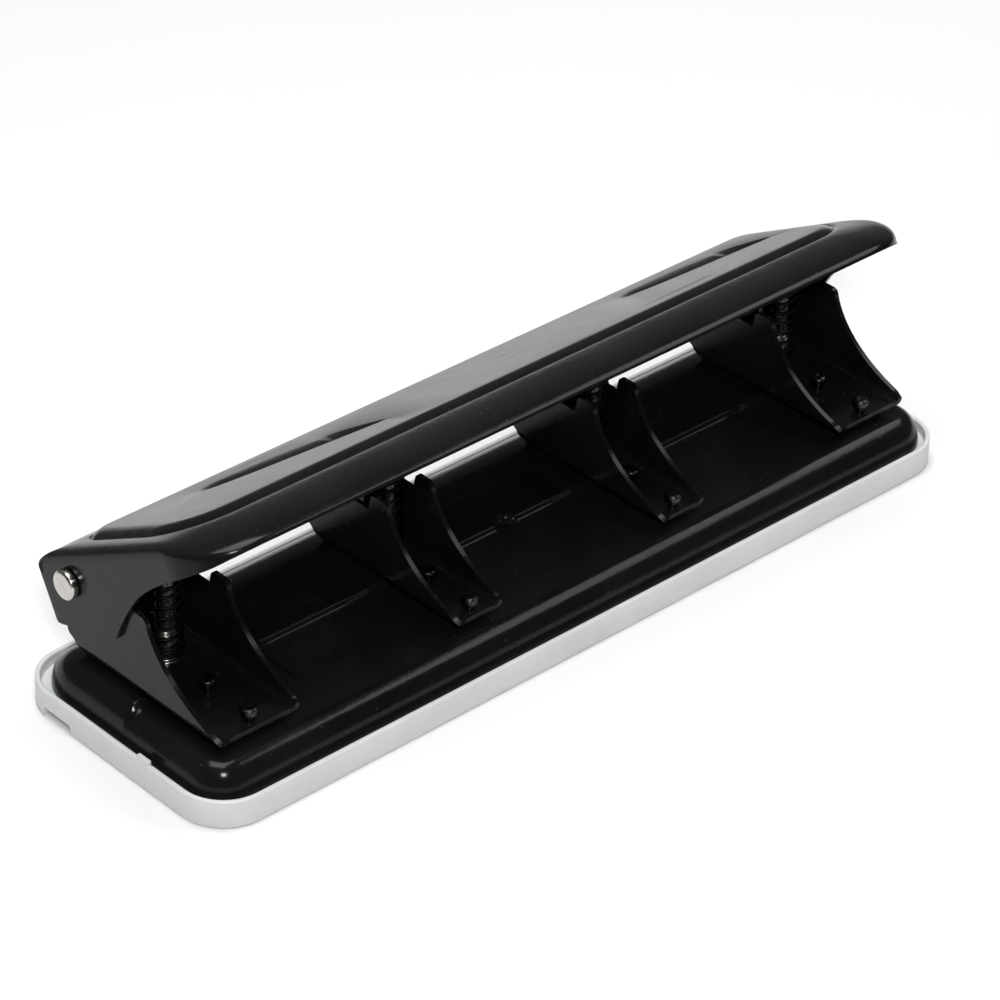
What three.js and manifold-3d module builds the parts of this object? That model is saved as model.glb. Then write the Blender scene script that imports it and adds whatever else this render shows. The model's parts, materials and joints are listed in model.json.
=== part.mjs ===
// Four-hole desk punch: a sheet-steel base on a plastic chip tray, four U-shaped stands that
// each guide one punch, and a long hood-shaped lever that turns on one rod through all stands.
// Units are millimetres. X runs along the punch, the open front faces -Y, +Z is up, and the
// origin is the middle of the underside. The lever stands raised, as it does at rest.
import * as THREE from 'three';
import { mergeVertices } from 'three/addons/utils/BufferGeometryUtils.js';
import Module from 'manifold-3d';

const wasm = await Module();
wasm.setup();

// ---- Driving dimensions --------------------------------------------------------------------

const HOLE_PITCH = 80;
const STAND_CENTRES = [-1.5, -0.5, 0.5, 1.5].map((step) => step * HOLE_PITCH);
const HOLE_DIAMETER = 6;
const REST_ANGLE = THREE.MathUtils.degToRad(28.7); // slope of the lever's top when raised
const GAP = 0.3; // between pieces that touch or are fixed together
const PUNCH_CLEARANCE = 0.1; // radial, round a sliding punch

const TRAY = {
  length: 289.2, depth: 89, corner: 15, wallTop: 8.9, wall: 1.6, floor: 1.5, ledgeWidth: 3.6, ledgeTop: 5.7,
};
const SNAP_TAB = { y0: -15.5, y1: -10.5, height: 1.5, root: 1, thickness: TRAY.wall - GAP };
const FINGER_HOLLOW = { y0: 19, y1: 31, height: 3.2, reach: 3.4 };

// The base's skirt leans outwards from the rolled edge of its top down to the ledge in the tray.
const BASE = {
  halfLength: 139.4, front: -38.5, rear: 35.7, sheet: 1.5, corner: 9.5, edgeRadius: 5, rearRadius: 9,
  flare: 2.1, rearFlare: 4.4, bottom: TRAY.ledgeTop + GAP, top: 17.8,
};
const STEP = { y: -0.4, drop: 1.8, notchRadius: 3 };
const THROAT = 2.4; // height of the paper slot under the stands

const STAND = {
  sheet: 1.5, length: 60, rear: 27, bottom: BASE.top + THROAT, wideWidth: 26.4, narrowWidth: 15.2,
  floorTip: 0.6, rearWallHeight: 17, rearWallFront: 1.2,
};
const LOBE_RADIUS = 6.5;
const SADDLE_HEIGHT = 20.6;
const HORN = { height: 25.8, rear: 23.4, front: 30.6 };
const PUNCH_FROM_REAR = 20; // from the stand's rear foot to the punch axis
const STOP_DEPTH = 8; // so that the holes lie 12 mm from the paper's edge
const STOP_INSET = 0.5; // the stop block stands in this far from the stand's sides and rear
const STUD_PLACES = [38, 55.5];
const STUD_HEIGHT = 2.6;
const RIVET_PLACE = 4;
const RIVET_SPREAD = { wide: 8, narrow: 3.4 };

const HINGE = { fromRear: -0.5, height: 22.5, rodRadius: 2.5, headRadius: 4.5, headThickness: 2.4 };
const HINGE_Y = STAND.rear - HINGE.fromRear;
const HINGE_Z = STAND.bottom + HINGE.height;

const LEVER = {
  halfLength: 136.2, sheet: 1.2, top: 9.4, front: 70.5, lip: 2.2, roll: 8, rear: -15, frontCorner: 20,
  rearCorner: 2, endRoll: 4.5,
};
const PANEL = { rise: 1.1, front: 52, rear: 0.5, inset: 5.3, corner: 18, bevel: 1.6 };
const TROUGH = { centres: [-69.5, 91], length: 55, width: 14, u: 22.5, depth: 1.1 };
const NOSE = { u: 20.8, w: 1, radius: 2, flange: 8, flangeSheet: 1.4, sideClearance: 1 };

const BUSH = { outerRadius: 3.9, flangeRadius: 5, flange: 1, height: 9 };
const PUNCH_HEAD = { radius: 4.6, thickness: 2.2 };
const SPRING = { outerRadius: 5.3, wire: 1.1, turns: 7 };
const RIVET = { headRadius: 2.5, headHeight: 1.2, shankRadius: 1.5, closingHead: 0.9 };
const ROD_CAP_DEPTH = 1.3; // thickness of the closed end of the cap
const BEYOND = 1; // how far a cutting tool reaches past the faces it cuts
const ROUND_SEGMENTS = 24;
const FASTENER_SEGMENTS = 14;

// ---- Materials -----------------------------------------------------------------------------

const blackPaint = { color: 0x0b0b0c, roughness: 0.22, metalness: 0.0 };
const whitePlastic = { color: 0xe9e8e4, roughness: 0.45, metalness: 0.0 };
const brightSteel = { color: 0xc9c9c6, roughness: 0.25, metalness: 1.0 };
const springSteel = { color: 0x8c8c88, roughness: 0.35, metalness: 1.0 };
const blackenedSteel = { color: 0x2a2928, roughness: 0.35, metalness: 1.0 };

// ---- Helpers -------------------------------------------------------------------------------

function toSolid(geometry) {
  const bare = geometry.clone();
  bare.deleteAttribute('normal');
  bare.deleteAttribute('uv');
  const merged = mergeVertices(bare, 1e-4);
  return new wasm.Manifold(new wasm.Mesh({
    numProp: 3,
    vertProperties: new Float32Array(merged.attributes.position.array),
    triVerts: new Uint32Array(merged.index.array),
  }));
}

function toGeometry(solid) {
  const mesh = solid.getMesh();
  const indexed = new THREE.BufferGeometry();
  indexed.setAttribute('position', new THREE.BufferAttribute(mesh.vertProperties, 3));
  indexed.setIndex(new THREE.BufferAttribute(mesh.triVerts, 1));
  const geometry = indexed.toNonIndexed();
  geometry.computeVertexNormals();
  return geometry;
}

function named(name, geometry, look) {
  const mesh = new THREE.Mesh(geometry, new THREE.MeshStandardMaterial(look));
  mesh.name = name;
  return mesh;
}

// A box given by its corners, as a solid.
function boxSolid([x0, y0, z0], [x1, y1, z1]) {
  const geometry = new THREE.BoxGeometry(x1 - x0, y1 - y0, z1 - z0);
  geometry.translate((x0 + x1) / 2, (y0 + y1) / 2, (z0 + z1) / 2);
  return toSolid(geometry);
}

// An upright cylinder, as a solid.
function postSolid(radius, x, y, z0, z1) {
  const geometry = new THREE.CylinderGeometry(radius, radius, z1 - z0, ROUND_SEGMENTS);
  geometry.rotateX(Math.PI / 2);
  geometry.translate(x, y, (z0 + z1) / 2);
  return toSolid(geometry);
}

// A cylinder lying along X, as a solid.
function barSolid(radius, x0, x1, y, z) {
  const geometry = new THREE.CylinderGeometry(radius, radius, x1 - x0, ROUND_SEGMENTS);
  geometry.rotateZ(Math.PI / 2);
  geometry.translate((x0 + x1) / 2, y, z);
  return toSolid(geometry);
}

const SIDE_VIEW = new THREE.Matrix4().makeBasis(
  new THREE.Vector3(0, -1, 0), new THREE.Vector3(0, 0, 1), new THREE.Vector3(-1, 0, 0));

// A side profile, drawn forwards (towards -Y) and up, swept along X from x0 to x1.
function sweepAlongX(shape, x0, x1, curveSegments = 12) {
  const geometry = new THREE.ExtrudeGeometry(shape, { depth: x1 - x0, bevelEnabled: false, curveSegments });
  geometry.applyMatrix4(SIDE_VIEW);
  geometry.translate(x1, 0, 0);
  return geometry;
}

function roundedRectangle(x0, y0, x1, y1, r) {
  const shape = new THREE.Shape();
  shape.moveTo(x0 + r, y0);
  shape.lineTo(x1 - r, y0);
  shape.absarc(x1 - r, y0 + r, r, -Math.PI / 2, 0);
  shape.lineTo(x1, y1 - r);
  shape.absarc(x1 - r, y1 - r, r, 0, Math.PI / 2);
  shape.lineTo(x0 + r, y1);
  shape.absarc(x0 + r, y1 - r, r, Math.PI / 2, Math.PI);
  shape.lineTo(x0, y0 + r);
  shape.absarc(x0 + r, y0 + r, r, Math.PI, 1.5 * Math.PI);
  return shape;
}

// A straight-sided block with a rounded plan.
function roundedBlock(length, depth, corner, z0, z1) {
  const shape = roundedRectangle(-length / 2, -depth / 2, length / 2, depth / 2, corner);
  const geometry = new THREE.ExtrudeGeometry(shape, {
    depth: z1 - z0, bevelEnabled: false, curveSegments: 8 });
  geometry.translate(0, 0, z0);
  return toSolid(geometry);
}

// A piece turned about an upright axis from a half profile of [radius, height] points.
function turned(profile, segments = ROUND_SEGMENTS) {
  const points = profile.map(([radius, height]) => new THREE.Vector2(radius, height));
  const geometry = new THREE.LatheGeometry(points, segments);
  geometry.rotateX(Math.PI / 2);
  return geometry;
}

// ---- Chip tray -----------------------------------------------------------------------------

// A shallow tray: a low wall stands round the base's skirt, which rests on a ledge inside. A snap
// tab on each end wall holds the skirt; a hollow under the left end lets a finger pull the tray off.
function chipTray() {
  const { length, depth, corner, wallTop, wall, floor, ledgeWidth, ledgeTop } = TRAY;
  const binInset = wall + ledgeWidth;
  const seat = roundedBlock(length - 2 * wall, depth - 2 * wall, corner - wall, ledgeTop, wallTop + BEYOND);
  const bin = roundedBlock(
    length - 2 * binInset, depth - 2 * binInset, corner - binInset, floor, wallTop + BEYOND);
  let tray = roundedBlock(length, depth, corner, 0, wallTop).subtract(seat).subtract(bin);

  for (const side of [-1, 1]) {
    const outer = side * length / 2;
    const inner = outer - side * SNAP_TAB.thickness;
    tray = tray.add(boxSolid(
      [Math.min(outer, inner), SNAP_TAB.y0, wallTop - SNAP_TAB.root],
      [Math.max(outer, inner), SNAP_TAB.y1, wallTop + SNAP_TAB.height]));
  }
  const hollow = boxSolid(
    [-length / 2 - BEYOND, FINGER_HOLLOW.y0, -BEYOND],
    [-length / 2 + FINGER_HOLLOW.reach, FINGER_HOLLOW.y1, FINGER_HOLLOW.height]);
  return named('chip_tray', toGeometry(tray.subtract(hollow)), whitePlastic);
}

// ---- Base ----------------------------------------------------------------------------------

// Points of the base's outline at one height, moved inwards by inset and outwards by the flare.
function baseOutline(inset, rearInset, z, flare, rearFlare) {
  const x = BASE.halfLength - inset + flare;
  const front = BASE.front + inset - flare;
  const rear = BASE.rear - rearInset + rearFlare;
  const shape = roundedRectangle(-x, front, x, rear, Math.max(BASE.corner - inset + flare, GAP));
  return shape.extractPoints(8).shape.map((point) => [point.x, point.y, z]);
}

// The body under the base's top at height z, its faces moved inwards by t and its foot down by t:
// round upper edges, wider at the rear, over a skirt that leans outwards.
function baseBody(t, z) {
  const points = baseOutline(t, t, BASE.bottom - t, BASE.flare, BASE.rearFlare);
  const edge = BASE.edgeRadius - t;
  const rearEdge = BASE.rearRadius - t;
  const steps = 5;
  for (let i = 0; i <= steps; i += 1) {
    const angle = (i / steps) * Math.PI / 2;
    const inward = 1 - Math.cos(angle);
    const down = edge * (1 - Math.sin(angle));
    points.push(...baseOutline(t + edge * inward, t + rearEdge * inward, z - t - down, 0, 0));
  }
  return wasm.Manifold.hull(points);
}

// One pressing: its rear half lies a step higher than its front half, and the step has a
// half-round notch that marks the middle of the paper.
function basePlate() {
  const { halfLength: reach, sheet, top } = BASE;
  const frontTop = top - STEP.drop;
  const wide = 2 * reach;
  const rearHalf = boxSolid([-wide, STEP.y, 0], [wide, reach, 2 * top]);
  const frontHalf = boxSolid([-wide, -reach, 0], [wide, STEP.y, 2 * top]);
  const rearCavity = boxSolid([-wide, STEP.y + sheet, 0], [wide, reach, 2 * top]);
  const frontCavity = boxSolid([-wide, -reach, 0], [wide, STEP.y + sheet, 2 * top]);
  const notch = postSolid(STEP.notchRadius, 0, STEP.y, frontTop, top + BEYOND);
  const notchWall = postSolid(STEP.notchRadius + sheet, 0, STEP.y, frontTop - sheet, top);

  const rearSkin = baseBody(0, top).intersect(rearHalf);
  const frontSkin = baseBody(0, frontTop).intersect(frontHalf);
  const rearRoom = baseBody(sheet, top).intersect(rearCavity).subtract(notchWall);
  const frontRoom = baseBody(sheet, frontTop).intersect(frontCavity);
  let base = rearSkin.add(frontSkin).subtract(notch).subtract(rearRoom).subtract(frontRoom);

  const y = STAND.rear - PUNCH_FROM_REAR;
  const rivetY = STAND.rear - RIVET_PLACE;
  for (const x of STAND_CENTRES) {
    base = base.subtract(postSolid(HOLE_DIAMETER / 2 + PUNCH_CLEARANCE, x, y, 0, 2 * top));
    for (const offset of rivetOffsets(x)) {
      base = base.subtract(postSolid(RIVET.shankRadius + GAP, x + offset, rivetY, 0, 2 * top));
    }
  }
  return named('base_plate', toGeometry(base), blackPaint);
}

// ---- Stands --------------------------------------------------------------------------------

const isWide = (x) => Math.abs(x) > HOLE_PITCH;
const standWidth = (x) => (isWide(x) ? STAND.wideWidth : STAND.narrowWidth);
const rivetSpread = (x) => (isWide(x) ? RIVET_SPREAD.wide : RIVET_SPREAD.narrow);
const rivetOffsets = (x) => [-rivetSpread(x), rivetSpread(x)];

// Side view of a cheek: rounded lobe round the hinge rod, low saddle over the punch, a horn,
// and a long front edge that sweeps down to the tip.
function cheekShape() {
  const { height, rear, front } = HORN;
  const shape = new THREE.Shape();
  shape.moveTo(0, 0);
  shape.lineTo(STAND.length - 1, 0);
  shape.quadraticCurveTo(STAND.length + 0.5, 0, STAND.length, 1.2);
  shape.bezierCurveTo(48, 4.5, 34.5, 12, front, height - 2);
  shape.quadraticCurveTo(front - 0.3, height, front - 2.4, height);
  shape.lineTo(rear + 1.6, height);
  shape.quadraticCurveTo(rear + 0.4, height, rear + 0.2, height - 1.4);
  shape.lineTo(rear - 0.4, SADDLE_HEIGHT + 0.6);
  shape.quadraticCurveTo(rear - 1.2, SADDLE_HEIGHT - 0.9, rear - 2.6, SADDLE_HEIGHT);
  shape.lineTo(HINGE.fromRear + 8, SADDLE_HEIGHT);
  const start = Math.asin((SADDLE_HEIGHT - HINGE.height) / LOBE_RADIUS);
  shape.absarc(HINGE.fromRear, HINGE.height, LOBE_RADIUS, start, Math.PI + 0.35, false);
  shape.lineTo(-4.6, 5.1);
  shape.quadraticCurveTo(-4.4, 3.6, -2.6, 3);
  shape.closePath();
  return shape;
}

function stand(index, x) {
  const { sheet, length, rear, bottom } = STAND;
  const half = standWidth(x) / 2;
  const cheek = cheekShape();
  const front = rear - length + STAND.floorTip;
  const wallFront = rear - STAND.rearWallFront;
  let bracket = boxSolid([x - half, front, bottom], [x + half, rear, bottom + sheet]).add(boxSolid(
    [x - half, wallFront, bottom], [x + half, wallFront + sheet, bottom + STAND.rearWallHeight]));
  for (const side of [-1, 1]) {
    const outer = x + side * half;
    const inner = outer - side * sheet;
    const geometry = sweepAlongX(cheek, Math.min(outer, inner), Math.max(outer, inner));
    geometry.translate(0, rear, bottom);
    bracket = bracket.add(toSolid(geometry));
  }
  bracket = bracket.subtract(barSolid(
    HINGE.rodRadius + GAP / 2, x - half - BEYOND, x + half + BEYOND, HINGE_Y, HINGE_Z));
  const holes = [
    [BUSH.outerRadius + GAP, 0, PUNCH_FROM_REAR],
    ...STUD_PLACES.map((place) => [RIVET.shankRadius + GAP, 0, place]),
    ...rivetOffsets(x).map((offset) => [RIVET.shankRadius + GAP, offset, RIVET_PLACE]),
  ];
  for (const [radius, offset, place] of holes) {
    bracket = bracket.subtract(postSolid(
      radius, x + offset, rear - place, bottom - BEYOND, bottom + sheet + BEYOND));
  }
  return named(`stand_${index}`, toGeometry(bracket), blackPaint);
}

// The block that lifts the stand's rear over the base: its front face is the paper stop.
function stopBlock(index, x) {
  const half = standWidth(x) / 2 - STOP_INSET;
  const z0 = BASE.top + GAP;
  const z1 = STAND.bottom - GAP;
  let block = boxSolid([x - half, STAND.rear - STOP_DEPTH, z0], [x + half, STAND.rear - STOP_INSET, z1]);
  for (const offset of rivetOffsets(x)) {
    const y = STAND.rear - RIVET_PLACE;
    block = block.subtract(postSolid(RIVET.shankRadius + GAP, x + offset, y, z0 - BEYOND, z1 + BEYOND));
  }
  return named(`stop_block_${index}`, toGeometry(block), blackenedSteel);
}

// ---- Fasteners -----------------------------------------------------------------------------

// Half profile of a rivet with a domed head over z = 0 and a flat closing head under -grip.
function rivetProfile(grip) {
  const { headRadius, headHeight, shankRadius, closingHead } = RIVET;
  const chamfer = 0.4;
  const dome = [3, 2, 1].map((step) => {
    const angle = (step / 4) * Math.PI / 2;
    return [headRadius * Math.cos(angle), headHeight * Math.sin(angle)];
  }).reverse();
  return [
    [0, -grip - closingHead], [headRadius - chamfer, -grip - closingHead],
    [headRadius, -grip - closingHead + chamfer], [headRadius, -grip], [shankRadius, -grip],
    [shankRadius, 0], [headRadius, 0], ...dome, [0, headHeight],
  ];
}

// The rear rivets clamp stand, stop block and base together.
function rearRivets(index, x) {
  const top = STAND.bottom + STAND.sheet + GAP;
  const grip = top - (BASE.top - BASE.sheet - GAP);
  return rivetOffsets(x).map((offset, i) => {
    const geometry = turned(rivetProfile(grip), FASTENER_SEGMENTS);
    const rivet = named(`rear_rivet_${index}${'ab'[i]}`, geometry, blackenedSteel);
    rivet.position.set(x + offset, STAND.rear - RIVET_PLACE, top);
    return rivet;
  });
}

// Two studs stand on each stand's floor, flush underneath so that paper slides past.
function floorStuds(index, x) {
  const { headRadius, shankRadius } = RIVET;
  const shoulder = STUD_HEIGHT - 1;
  const profile = [
    [0, -STAND.sheet - GAP], [shankRadius, -STAND.sheet - GAP], [shankRadius, 0], [headRadius, 0],
    [headRadius, shoulder], [headRadius * 0.82, STUD_HEIGHT - 0.3], [headRadius * 0.45, STUD_HEIGHT],
    [0, STUD_HEIGHT],
  ];
  return STUD_PLACES.map((place, i) => {
    const geometry = turned(profile, FASTENER_SEGMENTS);
    const stud = named(`floor_stud_${index}${'ab'[i]}`, geometry, blackenedSteel);
    stud.position.set(x, STAND.rear - place, STAND.bottom + STAND.sheet + GAP);
    return stud;
  });
}

// ---- Punches -------------------------------------------------------------------------------

const PUNCH_Y = STAND.rear - PUNCH_FROM_REAR;
const FLOOR_TOP = STAND.bottom + STAND.sheet;
const NOSE_REST_Z = HINGE_Z + NOSE.u * Math.sin(REST_ANGLE) + NOSE.w * Math.cos(REST_ANGLE);
const HEAD_TOP = NOSE_REST_Z - NOSE.radius - GAP - 0.1;
const PUNCH_TIP = STAND.bottom + 0.4;

// A flanged sleeve in the stand's floor keeps the punch upright.
function guideBush(index, x) {
  const { outerRadius, flangeRadius, flange, height } = BUSH;
  const bore = HOLE_DIAMETER / 2 + PUNCH_CLEARANCE;
  const below = STAND.sheet + GAP - 0.2;
  const geometry = turned([
    [bore, -below], [outerRadius, -below], [outerRadius, 0], [flangeRadius, 0], [flangeRadius, flange],
    [outerRadius, flange], [outerRadius, height], [bore, height], [bore, -below],
  ]);
  const bush = named(`guide_bush_${index}`, geometry, brightSteel);
  bush.position.set(x, PUNCH_Y, FLOOR_TOP + GAP);
  return bush;
}

// A straight pin with a flat head; its end is hollow-ground so that it cuts from the rim.
function punchPin(index, x) {
  const radius = HOLE_DIAMETER / 2;
  const length = HEAD_TOP - PUNCH_TIP;
  const { radius: head, thickness } = PUNCH_HEAD;
  const geometry = turned([
    [0, 0.9], [radius, 0], [radius, length - thickness], [head, length - thickness],
    [head, length - 0.5], [head - 0.5, length], [0, length],
  ]);
  const punch = named(`punch_${index}`, geometry, brightSteel);
  punch.position.set(x, PUNCH_Y, PUNCH_TIP);
  return punch;
}

class Helix extends THREE.Curve {
  constructor(radius, height, turns) {
    super();
    Object.assign(this, { radius, height, turns });
  }

  getPoint(t, target = new THREE.Vector3()) {
    const angle = 2 * Math.PI * this.turns * t;
    return target.set(this.radius * Math.cos(angle), this.radius * Math.sin(angle), this.height * t);
  }
}

// The spring pushes the punch's head up, and through it the lever.
function punchSpring(index, x) {
  const { outerRadius, wire, turns } = SPRING;
  const bottom = FLOOR_TOP + GAP + BUSH.flange + GAP + wire / 2;
  const top = HEAD_TOP - PUNCH_HEAD.thickness - GAP - wire / 2;
  const path = new Helix(outerRadius - wire / 2, top - bottom, turns);
  const section = new THREE.Shape().absarc(0, 0, wire / 2, 0, 2 * Math.PI);
  const geometry = new THREE.ExtrudeGeometry(section, {
    steps: turns * 12, extrudePath: path, bevelEnabled: false, curveSegments: 3 });
  const spring = named(`punch_spring_${index}`, geometry, springSteel);
  spring.position.set(x, PUNCH_Y, bottom);
  return spring;
}

// ---- Lever, drawn about the hinge with its top level ----------------------------------------

const HOOD_REACH = 30; // farther than any edge of the hood lies above or below the rod

// Side view of the hood with its outer faces moved inwards by t.
function hoodShape(t, lowerEdge) {
  const { top, front, rear, roll, lip } = LEVER;
  const crest = { u: 1.5, w: -1 }; // the middle of the bend from the top to the rear wall
  const lean = 1; // the rear wall leans forwards by this much
  const bend = crest.u - rear - t - lean;
  const shape = new THREE.Shape();
  lowerEdge(shape);
  shape.lineTo(rear + t + lean, crest.w);
  shape.absellipse(crest.u, crest.w, bend, top - t - crest.w, Math.PI, Math.PI / 2, true);
  shape.lineTo(front - roll, top - t);
  shape.absellipse(front - roll, lip - 1, roll - t, top - t - lip + 1, Math.PI / 2, 0.13, true);
  shape.closePath();
  return shape;
}

// The end walls' lower edge: level behind the front lip, then sweeping down to a rounded toe.
function wallEdge(shape) {
  const { front, rear, lip } = LEVER;
  shape.moveTo(front, lip);
  shape.lineTo(front - 7, 0.5);
  shape.bezierCurveTo(53, -0.8, 40, -1.2, 29.6, -6);
  shape.bezierCurveTo(23, -9.4, 20, -11.4, 16.4, -14.2);
  shape.quadraticCurveTo(13, -17.6, 10, -17);
  shape.lineTo(rear + 5.6, -12.3);
  shape.quadraticCurveTo(rear, -11.6, rear, -8.6);
}

function openEdge(shape) {
  shape.moveTo(LEVER.front - LEVER.sheet, -HOOD_REACH);
  shape.lineTo(LEVER.rear + LEVER.sheet, -HOOD_REACH);
}

// Plan of the hood: wide round corners at the front, tighter ones at the rear.
function hoodPlan(t) {
  const x = LEVER.halfLength - t;
  const front = -LEVER.front + t;
  const rear = -LEVER.rear - t;
  const r = LEVER.frontCorner - t;
  const rearCorner = Math.max(LEVER.rearCorner - t, GAP);
  const shape = new THREE.Shape();
  shape.moveTo(-x + r, front);
  shape.lineTo(x - r, front);
  shape.absarc(x - r, front + r, r, -Math.PI / 2, 0);
  shape.lineTo(x, rear - rearCorner);
  shape.absarc(x - rearCorner, rear - rearCorner, rearCorner, 0, Math.PI / 2);
  shape.lineTo(-x + rearCorner, rear);
  shape.absarc(-x + rearCorner, rear - rearCorner, rearCorner, Math.PI / 2, Math.PI);
  shape.lineTo(-x, front + r);
  shape.absarc(-x + r, front + r, r, Math.PI, 1.5 * Math.PI);
  const geometry = new THREE.ExtrudeGeometry(shape, {
    depth: 2 * HOOD_REACH, bevelEnabled: false, curveSegments: 8 });
  geometry.translate(0, 0, -HOOD_REACH);
  return toSolid(geometry);
}

// Front view of the hood: its two end edges are rolled over.
function hoodFront(t) {
  const x = LEVER.halfLength - t;
  const r = LEVER.endRoll - t;
  const top = LEVER.top - t;
  const shape = new THREE.Shape();
  shape.moveTo(-x, -HOOD_REACH);
  shape.lineTo(x, -HOOD_REACH);
  shape.absarc(x - r, top - r, r, 0, Math.PI / 2);
  shape.absarc(-x + r, top - r, r, Math.PI / 2, Math.PI);
  shape.closePath();
  const depth = LEVER.front - LEVER.rear + 2 * HOOD_REACH;
  const geometry = new THREE.ExtrudeGeometry(shape, { depth, bevelEnabled: false, curveSegments: 6 });
  geometry.rotateX(Math.PI / 2);
  geometry.translate(0, HOOD_REACH - LEVER.rear, 0);
  return toSolid(geometry);
}

function hoodBlock(t, lowerEdge) {
  const x = LEVER.halfLength - t;
  const swept = toSolid(sweepAlongX(hoodShape(t, lowerEdge), -x, x, 10));
  return swept.intersect(hoodPlan(t)).intersect(hoodFront(t));
}

// The raised panel on top, with two lens-shaped troughs for the fingertips.
function raisedPanel() {
  const { rise, front, rear, inset, corner, bevel } = PANEL;
  const x = LEVER.halfLength - inset - bevel;
  const shape = new THREE.Shape();
  shape.moveTo(-x, -rear);
  shape.lineTo(-x, -front + bevel + corner);
  shape.quadraticCurveTo(-x, -front + bevel, -x + corner, -front + bevel);
  shape.lineTo(x - corner / 2, -front + bevel);
  shape.quadraticCurveTo(x, -front + bevel, x, -front + bevel + corner / 2);
  shape.lineTo(x, -rear);
  shape.closePath();
  const geometry = new THREE.ExtrudeGeometry(shape, {
    depth: 0.1, bevelSize: bevel, bevelThickness: rise, bevelSegments: 2, curveSegments: 10 });
  geometry.translate(0, 0, LEVER.top - 0.1);
  return toSolid(geometry);
}

// A lens-shaped cutter for one trough.
function trough(x) {
  const { length, width, u, depth } = TROUGH;
  const shape = new THREE.Shape();
  shape.moveTo(-length / 2, 0);
  shape.quadraticCurveTo(0, -width, length / 2, 0);
  shape.quadraticCurveTo(0, width, -length / 2, 0);
  const geometry = new THREE.ExtrudeGeometry(shape, {
    depth: depth + BEYOND, bevelEnabled: false, curveSegments: 12 });
  geometry.translate(x, -u, LEVER.top + PANEL.rise - depth);
  return toSolid(geometry);
}

function lever() {
  const { halfLength, sheet } = LEVER;
  let hood = hoodBlock(0, wallEdge).subtract(hoodBlock(sheet, openEdge)).add(raisedPanel());
  for (const x of TROUGH.centres) {
    hood = hood.subtract(trough(x));
  }
  hood = hood.subtract(barSolid(
    HINGE.rodRadius + GAP / 2, -halfLength - BEYOND, halfLength + BEYOND, 0, 0));
  return named('lever', toGeometry(hood), blackPaint);
}

// A folded strip welded under the lever's top; its round nose presses all four punches.
function pressBar() {
  const { u, w, radius, flange, flangeSheet, sideClearance } = NOSE;
  const flangeTop = LEVER.top - LEVER.sheet - GAP;
  const flangeBottom = flangeTop - flangeSheet;
  const reach = STAND.wideWidth / 2 - STAND.sheet - sideClearance;
  const end = STAND_CENTRES[3] + reach;
  const shape = new THREE.Shape();
  shape.moveTo(u - radius, w);
  shape.absarc(u, w, radius, Math.PI, 2 * Math.PI, false);
  shape.lineTo(u + radius, flangeBottom);
  shape.lineTo(u + radius + flange, flangeBottom);
  shape.lineTo(u + radius + flange, flangeTop);
  shape.lineTo(u - radius - flange, flangeTop);
  shape.lineTo(u - radius - flange, flangeBottom);
  shape.lineTo(u - radius, flangeBottom);
  shape.closePath();
  return named('press_bar', sweepAlongX(shape, -end, end), brightSteel);
}

function leverAssembly() {
  const group = new THREE.Group();
  group.add(lever(), pressBar());
  group.position.set(0, HINGE_Y, HINGE_Z);
  group.rotation.x = -REST_ANGLE;
  return group;
}

// ---- Hinge rod -----------------------------------------------------------------------------

// One rod through the lever's end walls and every stand: headed at the left, held by a
// pressed-on cap at the right.
function hingeRod() {
  const { rodRadius, headRadius, headThickness } = HINGE;
  const wallFace = LEVER.halfLength + GAP;
  const length = 2 * wallFace + 0.4;
  const geometry = turned([
    [0, 0], [headRadius - 0.8, 0], [headRadius, 0.7], [headRadius, headThickness],
    [rodRadius, headThickness], [rodRadius, headThickness + length], [0, headThickness + length],
  ]);
  geometry.rotateY(Math.PI / 2);
  const rod = named('hinge_rod', geometry, brightSteel);
  rod.position.set(-wallFace - headThickness, HINGE_Y, HINGE_Z);
  return rod;
}

function rodCap() {
  const { rodRadius, headRadius, headThickness } = HINGE;
  const bore = rodRadius + GAP;
  const geometry = turned([
    [bore, 0], [headRadius, 0], [headRadius, headThickness - 0.6], [headRadius - 0.8, headThickness],
    [0, headThickness], [0, ROD_CAP_DEPTH], [bore, ROD_CAP_DEPTH], [bore, 0],
  ]);
  geometry.rotateY(Math.PI / 2);
  const cap = named('rod_cap', geometry, brightSteel);
  cap.position.set(LEVER.halfLength + GAP, HINGE_Y, HINGE_Z);
  return cap;
}

// ---- Assembly ------------------------------------------------------------------------------

const holePunch = new THREE.Group();
holePunch.add(chipTray(), basePlate());
STAND_CENTRES.forEach((x, i) => {
  const index = i + 1;
  holePunch.add(stand(index, x), stopBlock(index, x), guideBush(index, x), punchPin(index, x));
  holePunch.add(punchSpring(index, x), ...rearRivets(index, x), ...floorStuds(index, x));
});
holePunch.add(leverAssembly(), hingeRod(), rodCap());

export default holePunch;
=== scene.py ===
"""Four-hole desk punch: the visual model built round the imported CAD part."""

import json
import math

import bpy
import bmesh
import numpy as np
from mathutils import Matrix, Vector
from mathutils.geometry import delaunay_2d_cdt


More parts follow.
